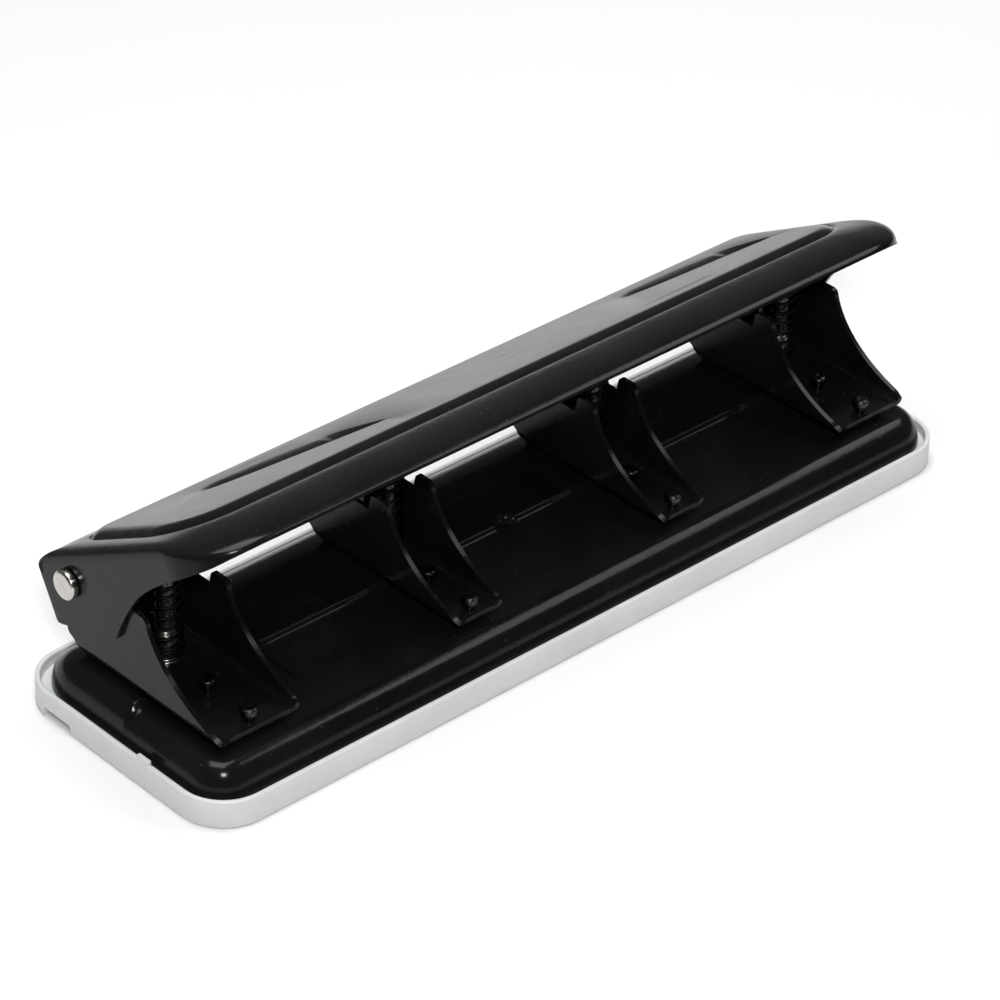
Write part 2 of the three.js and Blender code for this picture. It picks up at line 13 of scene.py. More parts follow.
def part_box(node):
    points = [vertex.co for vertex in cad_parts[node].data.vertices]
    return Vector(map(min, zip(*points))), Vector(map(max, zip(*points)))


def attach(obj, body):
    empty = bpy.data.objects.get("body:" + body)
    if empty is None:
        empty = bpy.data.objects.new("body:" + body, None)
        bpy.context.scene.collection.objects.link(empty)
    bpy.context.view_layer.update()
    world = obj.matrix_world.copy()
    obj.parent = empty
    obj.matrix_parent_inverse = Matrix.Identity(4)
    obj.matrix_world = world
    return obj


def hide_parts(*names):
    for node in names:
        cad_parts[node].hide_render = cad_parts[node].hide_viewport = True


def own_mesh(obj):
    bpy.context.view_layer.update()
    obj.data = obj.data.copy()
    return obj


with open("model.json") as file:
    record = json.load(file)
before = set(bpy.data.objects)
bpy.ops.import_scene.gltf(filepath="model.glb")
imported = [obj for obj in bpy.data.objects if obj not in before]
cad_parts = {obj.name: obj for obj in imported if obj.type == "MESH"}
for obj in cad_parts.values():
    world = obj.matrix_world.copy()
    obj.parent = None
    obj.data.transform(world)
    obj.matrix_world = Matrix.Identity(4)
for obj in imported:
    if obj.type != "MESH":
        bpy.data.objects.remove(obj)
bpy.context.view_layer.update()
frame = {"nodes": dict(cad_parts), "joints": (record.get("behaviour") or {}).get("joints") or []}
MM = 0.001

# ---- Sizes, in millimetres, where the CAD boxes don't give them ------------------------------

REST_ANGLE = math.radians(28.7)
SHEET = 1.5
HOOD_SHEET = 1.2
BEND_RADIUS = 2.3


def box_mm(node):
    """Lowest and highest corner of a CAD node, in millimetres."""
    low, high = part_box(node)
    return np.array(low) / MM, np.array(high) / MM


HINGE = next(j for j in frame["joints"] if j["name"] == "lever_hinge")
HINGE_Y, HINGE_Z = HINGE["pos_m"][1] / MM, HINGE["pos_m"][2] / MM


# ---- Curves ----------------------------------------------------------------------------------

def arc(cx, cy, rx, ry, start, end, count):
    """Points on an elliptical arc, angles in degrees, both ends included."""
    angles = np.radians(np.linspace(start, end, count))
    return np.column_stack([cx + rx * np.cos(angles), cy + ry * np.sin(angles)])


def circle(cx, cy, radius, count):
    return arc(cx, cy, radius, radius, 0, 360, count + 1)[:-1]


def line(p, q, count):
    t = np.linspace(0, 1, count)[:, None]
    return np.array(p) * (1 - t) + np.array(q) * t


def bezier(points, count):
    """A quadratic or cubic Bezier curve through its control points."""
    t = np.linspace(0, 1, count)[:, None]
    levels = [np.array(p, float) for p in points]
    while len(levels) > 1:
        levels = [a * (1 - t) + b * t for a, b in zip(levels, levels[1:])]
    return levels[0]


def chain(*parts):
    """Joins polylines, leaving out points that repeat."""
    points = np.vstack(parts)
    keep = [0]
    for i in range(1, len(points)):
        if np.linalg.norm(points[i] - points[keep[-1]]) > 1e-6:
            keep.append(i)
    return points[keep]


def smooth(t):
    t = np.clip(t, 0, 1)
    return t * t * (3 - 2 * t)


def inside(points, polygon):
    """Which points lie inside a closed polygon."""
    x, y = points[:, 0], points[:, 1]
    found = np.zeros(len(points), bool)
    for (x0, y0), (x1, y1) in zip(polygon, np.roll(polygon, -1, axis=0)):
        crosses = (y0 > y) != (y1 > y)
        if y0 != y1:
            found ^= crosses & (x < (x1 - x0) * (y - y0) / (y1 - y0) + x0)
    return found


# ---- Meshes ----------------------------------------------------------------------------------

class Surface:
    """Collects points and faces in millimetres; points that coincide are welded at the end."""

    def __init__(self):
        self.points, self.faces, self.count = [], [], 0

    def add(self, points):
        points = np.asarray(points, float)
        self.points.append(points)
        first = self.count
        self.count += len(points)
        return first

    def loft(self, rings, closed=True):
        """Quads between rings that have the same number of points."""
        size = len(rings[0])
        first = self.add(np.vstack(rings))
        for k in range(len(rings) - 1):
            low, high = first + k * size, first + (k + 1) * size
            for i in range(size if closed else size - 1):
                j = (i + 1) % size
                self.faces.append((low + i, low + j, high + j, high + i))
        return self

    def fill(self, outline, place, holes=(), lines=(), up=True):
        """Triangles inside an outline, round its holes and along inner lines; place maps them to space."""
        loops = [np.asarray(outline)[:, :2], *[np.asarray(h)[:, :2] for h in holes]]
        coords, edges = [], []
        paths = [(loop, True) for loop in loops] + [(np.asarray(path)[:, :2], False) for path in lines]
        for path, closed in paths:
            first, size = len(coords), len(path)
            coords.extend(Vector((float(x), float(y))) for x, y in path)
            steps = size if closed else size - 1
            edges.extend((first + i, first + (i + 1) % size) for i in range(steps))
        made = delaunay_2d_cdt(coords, edges, [], 0, 1e-5)
        flat = np.array([tuple(v) for v in made[0]])
        triangles = np.array([f for f in made[2] if len(f) == 3])
        middles = flat[triangles].mean(axis=1)
        keep = inside(middles, loops[0])
        for hole in loops[1:]:
            keep &= ~inside(middles, hole)
        triangles = triangles[keep]
        a, b, c = flat[triangles[:, 0]], flat[triangles[:, 1]], flat[triangles[:, 2]]
        turn = (b[:, 0] - a[:, 0]) * (c[:, 1] - a[:, 1]) - (b[:, 1] - a[:, 1]) * (c[:, 0] - a[:, 0])
        flip = (turn > 0) != up
        triangles[flip] = triangles[flip][:, ::-1]
        first = self.add(place(flat))
        self.faces.extend(tuple(int(i) + first for i in t) for t in triangles)
        return self

    def turn(self, profile, centre, axis, segments=64):
        """A closed piece turned about an axis from a half profile of (radius, height)."""
        angles = np.linspace(0, 2 * math.pi, segments, endpoint=False)
        rings = []
        for radius, height in profile:
            level = np.column_stack([
                radius * np.cos(angles), radius * np.sin(angles), np.full(segments, height)])
            if axis == "x":
                level = level[:, [2, 0, 1]]
            rings.append(level + np.array(centre))
        return self.loft(rings)

    def transform(self, matrix):
        self.points = [
            p @ np.array(matrix.to_3x3()).T + np.array(matrix.translation) for p in self.points
        ]
        return self

    def make(self, name, sharp=40.0):
        """A Blender object in metres."""
        points = np.vstack(self.points) * MM
        mesh = bpy.data.meshes.new(name)
        mesh.from_pydata(points.tolist(), [], self.faces)
        bm = bmesh.new()
        bm.from_mesh(mesh)
        bmesh.ops.remove_doubles(bm, verts=bm.verts, dist=2e-6)
        bmesh.ops.dissolve_degenerate(bm, dist=1e-7, edges=bm.edges)
        for edge in bm.edges:
            if len(edge.link_faces) == 2 and edge.calc_face_angle(0) > math.radians(sharp):
                edge.smooth = False
        for face in bm.faces:
            face.smooth = True
        bm.to_mesh(mesh)
        bm.free()
        obj = bpy.data.objects.new(name, mesh)
        bpy.context.scene.collection.objects.link(obj)
        return obj


def thicken(obj, thickness, edge):
    """Gives a surface its sheet thickness, inwards, and softens the cut edges."""
    solid = obj.modifiers.new("sheet", "SOLIDIFY")
    solid.thickness = thickness * MM
    solid.offset = -1
    solid.use_even_offset = True
    solid.use_quality_normals = True
    soften(obj, edge)
    return obj


def soften(obj, edge, angle=50):
    """Rounds the edges that are sharper than the angle, in degrees."""
    bevel = obj.modifiers.new("edge", "BEVEL")
    bevel.width = edge * MM
    bevel.segments = 2
    bevel.limit_method = "ANGLE"
    bevel.angle_limit = math.radians(angle)
    bevel.harden_normals = True
    bevel.use_clamp_overlap = True


def finish_piece(obj, material, body, replaced):
    """Gives a piece its material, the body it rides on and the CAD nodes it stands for."""
    obj.data.materials.clear()
    obj.data.materials.append(material)
    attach(obj, body)
    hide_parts(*replaced)


# ---- Materials -------------------------------------------------------------------------------

class Look:
    """A small node-tree builder round one Principled shader."""

    def __init__(self, name, **values):
        self.material = bpy.data.materials.new(name)
        self.material.use_nodes = True
        self.tree = self.material.node_tree
        self.shader = self.tree.nodes["Principled BSDF"]
        for socket, value in values.items():
            self.shader.inputs[socket.replace("_", " ")].default_value = value
        self.coords = self.tree.nodes.new("ShaderNodeTexCoord").outputs["Object"]

    def node(self, kind, inputs=(), **settings):
        node = self.tree.nodes.new(kind)
        for key, value in settings.items():
            setattr(node, key, value)
        for key, value in dict(inputs).items():
            if isinstance(value, bpy.types.NodeSocket):
                self.tree.links.new(value, node.inputs[key])
            else:
                node.inputs[key].default_value = value
        return node

    def noise(self, scale, detail=3.0, roughness=0.5, stretch=None):
        vector = self.coords
        if stretch:
            vector = self.node("ShaderNodeMapping", {"Vector": vector, "Scale": stretch}).outputs[0]
        return self.node("ShaderNodeTexNoise", {
            "Vector": vector, "Scale": scale, "Detail": detail, "Roughness": roughness}).outputs["Fac"]

    def ramp(self, factor, low, high, out_low=0.0, out_high=1.0):
        return self.node("ShaderNodeMapRange", {
            "Value": factor, "From Min": low, "From Max": high, "To Min": out_low, "To Max": out_high,
        }).outputs["Result"]

    def mix(self, factor, a, b):
        node = self.node("ShaderNodeMix", data_type="RGBA")
        sockets = [s for s in node.inputs if s.type == "RGBA"]
        for socket, value in [(node.inputs[0], factor), (sockets[0], a), (sockets[1], b)]:
            if isinstance(value, bpy.types.NodeSocket):
                self.tree.links.new(value, socket)
            else:
                socket.default_value = value
        return next(s for s in node.outputs if s.type == "RGBA")

    def math(self, operation, a, b=0.0):
        return self.node("ShaderNodeMath", {0: a, 1: b}, operation=operation).outputs[0]

    def bump(self, height, strength, distance, normal=None):
        inputs = {"Height": height, "Strength": strength, "Distance": distance}
        if normal is not None:
            inputs["Normal"] = normal
        return self.node("ShaderNodeBump", inputs).outputs["Normal"]

    def to(self, socket, value):
        self.tree.links.new(value, self.shader.inputs[socket])


def black_enamel():
    """Stoved black enamel: a faint orange peel, softer gloss in patches, dust and hairline scuffs."""
    look = Look("black_enamel", IOR=1.27)
    patches = look.noise(35, 4, 0.6)
    dust = look.ramp(look.node("ShaderNodeTexVoronoi", {
        "Vector": look.coords, "Scale": 420.0}).outputs["Distance"], 0.06, 0.13, 1.0, 0.0)
    sparse = look.ramp(look.noise(90, 2), 0.56, 0.66)
    specks = look.math("MULTIPLY", dust, sparse)
    scuffs = look.ramp(look.noise(260, 2, 0.4, (0.12, 1.0, 1.0)), 0.66, 0.74, 0.0, 0.10)
    colour = look.mix(look.ramp(patches, 0.3, 0.7), (0.005, 0.005, 0.0054, 1), (0.008, 0.0078, 0.008, 1))
    colour = look.mix(look.math("MULTIPLY", specks, 0.22), colour, (0.20, 0.19, 0.18, 1))
    look.to("Base Color", colour)
    gloss = look.ramp(patches, 0.3, 0.7, 0.13, 0.2)
    gloss = look.math("ADD", gloss, scuffs)
    look.to("Roughness", look.math("ADD", gloss, look.math("MULTIPLY", specks, 0.3)))
    peel = look.bump(look.noise(650, 2, 0.5), 0.10, 0.0003)
    waves = look.bump(look.noise(120, 2, 0.5), 0.12, 0.0006, peel)
    look.to("Normal", look.bump(specks, 0.25, 0.00008, waves))
    return look.material


def white_plastic():
    """Moulded polystyrene: a fine mould grain, slight cloudiness and a few rubbed grey marks."""
    look = Look("moulded_plastic", IOR=1.49, Subsurface_Weight=0.12, Subsurface_Scale=0.002)
    clouds = look.noise(22, 4, 0.55)
    marks = look.ramp(look.noise(75, 5, 0.7, (0.35, 1.0, 1.6)), 0.62, 0.78)
    colour = look.mix(look.ramp(clouds, 0.3, 0.7), (0.62, 0.63, 0.63, 1), (0.70, 0.705, 0.70, 1))
    look.to("Base Color", look.mix(look.math("MULTIPLY", marks, 0.35), colour, (0.42, 0.43, 0.43, 1)))
    look.to("Roughness", look.ramp(clouds, 0.3, 0.7, 0.36, 0.5))
    grain = look.bump(look.noise(1500, 2), 0.12, 0.0001)
    look.to("Normal", look.bump(look.noise(60, 2), 0.06, 0.0006, grain))
    return look.material


def steel(name, colour, low, high, grain=(1, 1, 1), scratch=0.2):
    """Bare, plated or blackened steel: a cloudy tone, a fine grain, and roughness from low to high."""
    look = Look(name, Metallic=1.0)
    tone = look.noise(140, 4, 0.6)
    darker = tuple(c * 0.72 for c in colour[:3]) + (1,)
    look.to("Base Color", look.mix(look.ramp(tone, 0.3, 0.75), darker, colour))
    fine = look.noise(1800, 3, 0.6, grain)
    look.to("Roughness", look.ramp(fine, 0.3, 0.7, low, high))
    look.to("Normal", look.bump(fine, scratch, 0.00006, look.bump(tone, 0.1, 0.0002)))
    return look.material


def pale_floor():
    look = Look("studio_floor", Roughness=0.6)
    look.to("Base Color", look.mix(look.noise(3, 3), (0.80, 0.80, 0.80, 1), (0.83, 0.83, 0.83, 1)))
    return look.material


ENAMEL = black_enamel()
PLASTIC = white_plastic()
PLATED = steel("plated_steel", (0.62, 0.60, 0.56, 1), 0.16, 0.30, scratch=0.15)
GROUND = steel("ground_steel", (0.62, 0.62, 0.62, 1), 0.18, 0.34, grain=(1, 1, 0.05), scratch=0.3)
WIRE = steel("spring_wire", (0.014, 0.013, 0.012, 1), 0.42, 0.6)
DARK = steel("blackened_steel", (0.060, 0.058, 0.056, 1), 0.22, 0.4, scratch=0.25)


# ---- Rings: rounded rectangles with matching points ------------------------------------------

def ring(x_half, y_front, y_rear, front, rear, sides, corner=16):
    """A rounded rectangle seen from above, front-left corner first; front and rear are corner radii."""
    long_side, short_side = sides
    return chain(
        arc(-x_half + front, y_front + front, front, front, 180, 270, corner),
        line((-x_half + front, y_front), (x_half - front, y_front), long_side),
        arc(x_half - front, y_front + front, front, front, 270, 360, corner),
        line((x_half, y_front + front), (x_half, y_rear - rear), short_side),
        arc(x_half - rear, y_rear - rear, rear, rear, 0, 90, corner),
        line((x_half - rear, y_rear), (-x_half + rear, y_rear), long_side),
        arc(-x_half + rear, y_rear - rear, rear, rear, 90, 180, corner),
        line((-x_half, y_rear - rear), (-x_half, y_front + front), short_side)[:-1],
    )


def at_height(plan, z):
    z = np.broadcast_to(z, len(plan))
    return np.column_stack([plan, z])


# ---- Lever hood ------------------------------------------------------------------------------

# Places are measured from the hinge with the lever's top level: y towards the rear, z up.
HOOD = {"top": 9.4, "front": -70.5, "rear": 15.0, "lip": 2.2, "lean": 1.0, "rear_wall": -9.0,
        "front_corner": 20.0, "rear_corner": 2.0, "end_roll": 4.6, "front_roll": 6.9, "rear_roll": 10.8,
        "squareness": 2.7, "front_squareness": 2.1, "crown": 0.2, "front_crown": 2.1}
RIDGE = {"end": 5.3, "shift": 1.2, "front": -52.0, "rear": 0.5, "corner": 19.0, "rear_corner": 6.0,
         "flat": 0.25, "width": 1.3, "dip": 0.35}
SHOULDER = {"width": 5.5, "rise": 1.5, "rear_share": 0.35}
TROUGHS = (
    {"centre": -69.5, "front": -25.0, "slope": -0.26},
    {"centre": 91.0, "front": -21.2, "slope": -0.14},
)
TROUGH = {"length": 55.0, "width": 14.5, "depth": 2.3, "hook": 2.2, "lobe": 2.6, "lobe_depth": 0.35,
          "wall": 0.25, "lip": 0.30, "lip_radius": 0.35, "land": 0.4}
HOOD_SIDES = (90, 90)


def hood_wall_edge(y):
    """Height of the end walls' lower edge at y."""
    rear = HOOD["rear"]
    edge = chain(
        line((HOOD["front"], HOOD["lip"]), (-63.5, 0.5), 6),
        bezier([(-63.5, 0.5), (-53, -0.8), (-40, -1.2), (-29.6, -6)], 24),
        bezier([(-29.6, -6), (-23, -9.4), (-20, -11.4), (-16.4, -14.2)], 14),
        bezier([(-16.4, -14.2), (-13, -17.6), (-10, -17)], 8),
        line((-10, -17), (9.4, -12.3), 6),
        bezier([(9.4, -12.3), (rear, -11.6), (rear, -8.6)], 8)[:-1],
    )
    return np.interp(y, edge[:, 0], edge[:, 1])


def hood_rings():
    """The hood's outside from its lower edge, up and over the rolled edges, to the ridge."""
    low = ring(half_length(), HOOD["front"], HOOD["rear"], HOOD["front_corner"], HOOD["rear_corner"],
               HOOD_SIDES)
    high = inset_ring(0)
    # How much each point belongs to the front edge or the rear edge, rather than to an end.
    at_front = smooth((HOOD["front"] + HOOD["front_corner"] - low[:, 1]) / HOOD["front_corner"])
    at_rear = smooth((low[:, 1] - HOOD["rear"] + HOOD["rear_corner"]) / HOOD["rear_corner"])
    height = (HOOD["end_roll"] + at_front * (HOOD["front_roll"] - HOOD["end_roll"])
              + at_rear * (HOOD["rear_roll"] - HOOD["end_roll"]))
    edge = hood_wall_edge(low[:, 1])
    edge = edge * (1 - at_rear) + HOOD["rear_wall"] * at_rear
    start = HOOD["top"] - height
    edge = np.minimum(edge, start - 0.2)
    crown = HOOD["crown"] + (HOOD["front_crown"] - HOOD["crown"]) * at_front
    lean = np.column_stack([np.zeros(len(low)), at_rear * HOOD["lean"]])
    rings = [at_height(low - lean * t, edge * (1 - t) + start * t) for t in np.linspace(0, 1, 6)]
    low = low - lean
    power = 2 / (HOOD["squareness"] + at_front * (HOOD["front_squareness"] - HOOD["squareness"]))
    for theta in np.radians(np.linspace(0, 90, 25)[1:]):
        out, rise = math.cos(theta) ** power, math.sin(theta) ** power
        plan = high + (low - high) * out[:, None]
        rings.append(at_height(plan, HOOD["top"] - crown * out - (height - crown) * (1 - rise)))
    return rings


def half_length():
    low, high = box_mm("lever")
    return (high[0] - low[0]) / 2


def inset_ring(step):
    """The outline of the raised panel's ridge, moved inwards by a step."""
    plan = ring(half_length() - RIDGE["end"] - step, RIDGE["front"] + step,
                RIDGE["rear"] - step * SHOULDER["rear_share"], RIDGE["corner"] - step,
                RIDGE["rear_corner"] - step * SHOULDER["rear_share"], HOOD_SIDES)
    return plan + np.array([RIDGE["shift"], 0])


def trough_rows(centre, front, slope):
    """Rows of points from a trough's soft rear side, down to its front wall and up to the panel."""
    a = np.linspace(-1, 1, 81)
    x = centre + a * TROUGH["length"] / 2
    bow = 1 - a * a
    ends = np.clip(bow * 4, 0, 1)
    lobe = smooth((a - 0.44) / 0.12) * (1 - smooth((a - 0.62) / 0.38))
    front = front + slope * (x - centre) + TROUGH["hook"] * np.clip(-a, 0, 1) ** 4
    rear = front + 0.78 * TROUGH["width"] * np.sqrt(bow) + TROUGH["lobe"] * lobe
    rear = np.maximum(rear, front + 0.02)
    depth = TROUGH["depth"] * np.clip(bow * 2.2, 0, 1) ** 0.8 + TROUGH["lobe_depth"] * lobe
    lip = -TROUGH["lip"] * np.clip(depth, 0, 1)
    rows = []
    for b in np.linspace(0, 1, 18):
        rows.append(np.column_stack([x, rear + (front - rear) * b, -depth * b * (0.4 + 0.6 * b)]))
    wall = front - TROUGH["wall"] * ends
    rows.append(np.column_stack([x, wall, lip]))
    for angle in np.radians([30, 60, 90]):
        across = wall - TROUGH["lip_radius"] * ends * (1 - math.cos(angle))
        rows.append(np.column_stack([x, across, lip * (1 - math.sin(angle))]))
    rows.append(np.column_stack([x, across - TROUGH["land"] * ends, np.zeros(len(x))]))
    return rows


def lever_hood():
    """The lever's shell: rolled edges, a ridge, a shallow groove, and the raised panel with its troughs."""
    surface = Surface()
    rings = hood_rings()
    panel_top = HOOD["top"] + SHOULDER["rise"]
    rings.append(at_height(inset_ring(RIDGE["flat"]), HOOD["top"]))
    rings.append(at_height(inset_ring(RIDGE["width"]), HOOD["top"] - RIDGE["dip"] * 0.3))
    groove = HOOD["top"] - RIDGE["dip"]
    for t in np.linspace(0, 1, 17):
        step = RIDGE["width"] + 0.4 + SHOULDER["width"] * t
        rings.append(at_height(inset_ring(step), groove + (panel_top - groove) * (1 - (1 - t) ** 2.2)))
    inner = inset_ring(RIDGE["width"] + SHOULDER["width"] + 0.8)
    rings.append(at_height(inner, panel_top))
    surface.loft(rings)
    holes = []
    for trough in TROUGHS:
        rows = trough_rows(**trough)
        rows = [row + np.array([0, 0, panel_top]) for row in rows]
        surface.loft([row[::-1] for row in rows], closed=False)
        holes.append(np.vstack([rows[0][:, :2], rows[-1][::-1, :2][1:-1]]))
    surface.fill(inner, lambda flat: at_height(flat, panel_top), holes)
    surface.transform(Matrix.Translation((0, HINGE_Y, HINGE_Z)) @ Matrix.Rotation(-REST_ANGLE, 4, "X"))
    hood = thicken(surface.make("lever_hood"), HOOD_SHEET, 0.3)
    finish_piece(hood, ENAMEL, "lever", ["lever"])


# ---- Base pressing ---------------------------------------------------------------------------

STEP = {"y": -0.4, "drop": 1.8, "notch": 3.0, "fillet": 1.5, "half": 1.4, "bead": 0.4}
BASE = {"x": 139.4, "front": -38.5, "rear": 34.4, "roll": 5.0, "rear_roll": 9.0, "corner": 9.5}
PUNCH_HOLE = 3.1  # radius
PUNCH_Y = (box_mm("punch_1")[0][1] + box_mm("punch_1")[1][1]) / 2
STAND_X = [(box_mm(f"stand_{i}")[0][0] + box_mm(f"stand_{i}")[1][0]) / 2 for i in (1, 2, 3, 4)]


def step_line(offset, x_end):
    """The step's line in plan, moved by offset towards the high side, with its half-round notch."""
    r, f, y = STEP["notch"], STEP["fillet"], STEP["y"]
    a = math.sqrt((r + f) ** 2 - f ** 2)
    tip = math.degrees(math.atan2(f, a))
    left = chain(
        line((-x_end, y + offset), (-a, y + offset), 60),
        arc(-a, y + f, f - offset, f - offset, -90, -tip, 8),
        arc(0, y, r + offset, r + offset, 180 - tip, 90, 14),
    )
    right = left[::-1] * np.array([-1, 1])
    return chain(left, right)


def step_height(t):
    """Height across the step, t from 0 on the low side to 1 on the high side, which begins with a bead."""
    reach = 0.28
    bead = STEP["bead"] * np.maximum(1 - ((t - 1 + reach) / reach) ** 2, 0)
    return bead - STEP["drop"] * (1 - 0.7 * np.clip(t, 0, 1) - 0.3 * smooth(t))


def base_plate():
    """The pressing with its rolled edge, the step across its top and a hole under each punch."""
    low, high = box_mm("base_plate")
    top, bottom = high[2], low[2]
    flare = (high[0] - low[0]) / 2 - BASE["x"]
    rear_flare = high[1] - BASE["rear"]
    offsets = np.linspace(-STEP["half"], STEP["half"], 9)
    straight = np.linspace(BASE["front"] + BASE["corner"], BASE["rear"] - BASE["corner"], 24)
    side = np.unique(np.concatenate([straight, STEP["y"] + offsets]))

    def plan(inset, rear_inset):
        """The base's outline moved inwards; negative values move it outwards."""
        r, rear_r = BASE["corner"] - inset, (BASE["corner"] - inset, BASE["corner"] - rear_inset)
        x, y_front, y_rear = BASE["x"] - inset, BASE["front"] + inset, BASE["rear"] - rear_inset
        return chain(
            arc(-x + r, y_front + r, r, r, 180, 270, 18),
            line((-x + r, y_front), (x - r, y_front), 60),
            arc(x - r, y_front + r, r, r, 270, 360, 18),
            np.column_stack([np.full(len(side), x), side]),
            arc(x - rear_r[0], y_rear - rear_r[1], *rear_r, 0, 90, 18),
            line((x - rear_r[0], y_rear), (-x + rear_r[0], y_rear), 60),
            arc(-x + rear_r[0], y_rear - rear_r[1], *rear_r, 90, 180, 18),
            np.column_stack([np.full(len(side), -x), side[::-1]])[:-1],
        )

    def lift(points):
        return step_height((points[:, 1] - STEP["y"] + STEP["half"]) / (2 * STEP["half"]))

    surface = Surface()
    rings = []
    for theta in np.radians(np.linspace(0, 90, 27)):
        inward, rise = 1 - math.cos(theta), math.sin(theta)
        points = plan((BASE["roll"] + flare) * inward - flare,
                      (BASE["rear_roll"] + rear_flare) * inward - rear_flare)
        rings.append(at_height(points, bottom + (top - bottom + lift(points)) * rise))
    margin = 0.3  # a flat strip between the rolled edge and the top
    guard = plan(BASE["roll"] + margin, BASE["rear_roll"] + margin)
    rings.append(at_height(guard, top + lift(guard)))
    surface.loft(rings)

    x_end = BASE["x"] - BASE["roll"] - margin
    lines = [step_line(offset, x_end) for offset in offsets]
    heights = {}
    for step, offset in zip(lines, offsets):
        value = step_height((offset + STEP["half"]) / (2 * STEP["half"]))
        heights.update({(round(float(x), 3), round(float(y), 3)): value for x, y in step})

    def on_top(flat):
        z = []
        for x, y in flat:
            key = (round(float(x), 3), round(float(y), 3))
            known = heights.get(key)
            if known is None:
                low_side = y < STEP["y"] or math.hypot(x, y - STEP["y"]) < STEP["notch"]
                known = -STEP["drop"] if low_side else 0.0
            z.append(known)
        return at_height(flat, top + np.array(z))

    holes = [circle(x, PUNCH_Y, PUNCH_HOLE, 32) for x in STAND_X]
    surface.fill(guard, on_top, holes, lines)
    base = thicken(surface.make("base_pressing"), SHEET, 0.3)
    finish_piece(base, ENAMEL, "frame", ["base_plate"])


# ---- Stands ----------------------------------------------------------------------------------

HINGE_PLACE = (-0.5, 22.5)  # the rod from the stand's rear foot: forward, up
BRACKET = {"rod_hole": 2.65, "bush_hole": 4.2, "wall_front": 1.2, "wall_rear": 0.3, "wall_height": 17.0}


def cheek_outline():
    """A cheek from the side, as (forward, up) from the rear foot: from the front tip over the top."""
    hinge = HINGE_PLACE
    lobe, saddle = 6.5, 20.6
    start = math.degrees(math.asin((saddle - hinge[1]) / lobe))
    return chain(
        bezier([(59.0, 0.0), (60.1, 0.2), (59.6, 1.4)], 5),
        bezier([(59.6, 1.4), (48, 4.5), (34.5, 12), (30.6, 23.8)], 40),
        bezier([(30.6, 23.8), (30.3, 25.8), (28.2, 25.8)], 6),
        line((28.2, 25.8), (25.0, 25.8), 3),
        bezier([(25.0, 25.8), (23.8, 25.8), (23.6, 24.4)], 5),
        line((23.6, 24.4), (23.0, 21.2), 3),
        bezier([(23.0, 21.2), (22.2, 19.7), (20.8, saddle)], 6),
        line((20.8, saddle), (hinge[0] + lobe * math.cos(math.radians(start)), saddle), 8),
        arc(*hinge, lobe, lobe, start, 200, 30),
        line((-6.6, 20.28), (-4.6, 5.1), 10),
        bezier([(-4.6, 5.1), (-4.4, 3.6), (-2.6, 3.0)], 6),
        bezier([(-2.6, 3.0), (-0.8, 2.0), (0.0, 0.0)], 6),
    )


def stand(index):
    """A bracket folded up from flat sheet: a floor, two cheeks, and a low wall across the rear."""
    node = f"stand_{index}"
    low, high = box_mm(node)
    half = (high[0] - low[0]) / 2
    centre, bottom, rear = (low[0] + high[0]) / 2, low[2], HINGE_Y + HINGE_PLACE[0]
    flat_half = half - BEND_RADIUS
    arc_length = BEND_RADIUS * math.pi / 2

    def unfold(z):
        angle = np.arccos(np.clip(1 - z / BEND_RADIUS, -1, 1))
        return np.where(z < BEND_RADIUS, flat_half + BEND_RADIUS * angle,
                        flat_half + arc_length + z - BEND_RADIUS)

    def fold(flat):
        s, forward = np.abs(flat[:, 0]), flat[:, 1]
        angle = np.clip((s - flat_half) / BEND_RADIUS, 0, math.pi / 2)
        x = np.minimum(s, flat_half) + BEND_RADIUS * np.sin(angle)
        z = BEND_RADIUS * (1 - np.cos(angle)) + np.maximum(s - flat_half - arc_length, 0)
        return np.column_stack([centre + np.sign(flat[:, 0]) * x, rear - forward, bottom + z])

    cheek = cheek_outline()
    right = np.column_stack([unfold(cheek[:, 1]), cheek[:, 0]])
    left = right[::-1] * np.array([-1, 1])
    outline = chain(
        line((-flat_half, cheek[0, 0]), (flat_half, cheek[0, 0]), 12)[1:-1], right,
        line((flat_half, 0), (-flat_half, 0), 12)[1:-1], left)
    holes = [circle(0, rear - PUNCH_Y, BRACKET["bush_hole"], 40)]
    for side in (-1, 1):
        rod_at = side * unfold(np.array(HINGE_PLACE[1]))
        holes.append(circle(rod_at, HINGE_PLACE[0], BRACKET["rod_hole"], 32))
    # Lines along the bends, which end just inside the outline.
    bends = []
    begin, end, outer_end, guard = 1.5, 58.2, 57.6, 0.3
    for side in (-1, 1):
        for t in np.linspace(0, 1, 9):
            s = side * (flat_half + arc_length * t)
            bends.append(line((s, begin), (s, end), 30))
        for beyond in (-guard, arc_length + guard):
            s = side * (flat_half + beyond)
            bends.append(line((s, begin), (s, outer_end), 30))
    surface = Surface().fill(outline, fold, holes, bends, up=False)
    piece = thicken(surface.make(f"bracket_{index}"), SHEET, 0.28)
    finish_piece(piece, ENAMEL, "frame", [node])
    wall = block(f"bracket_wall_{index}",
                 (low[0] + SHEET, rear - BRACKET["wall_front"], bottom + SHEET),
                 (high[0] - SHEET, rear + BRACKET["wall_rear"], bottom + BRACKET["wall_height"]), 0.3)
    finish_piece(wall, ENAMEL, "frame", [node])


# ---- Chip tray -------------------------------------------------------------------------------

TRAY = {"corner": 15.0, "wall": 1.6, "ledge": 5.2, "ledge_top": 5.7, "floor": 1.5, "foot": 0.7}
TAB = {"front": -15.5, "rear": -10.5, "rise": 1.5, "root": 2.0, "inset": 0.02, "thickness": 1.3}
PULL = {"front": 19.0, "rear": 31.0, "height": 3.2, "reach": 3.4}


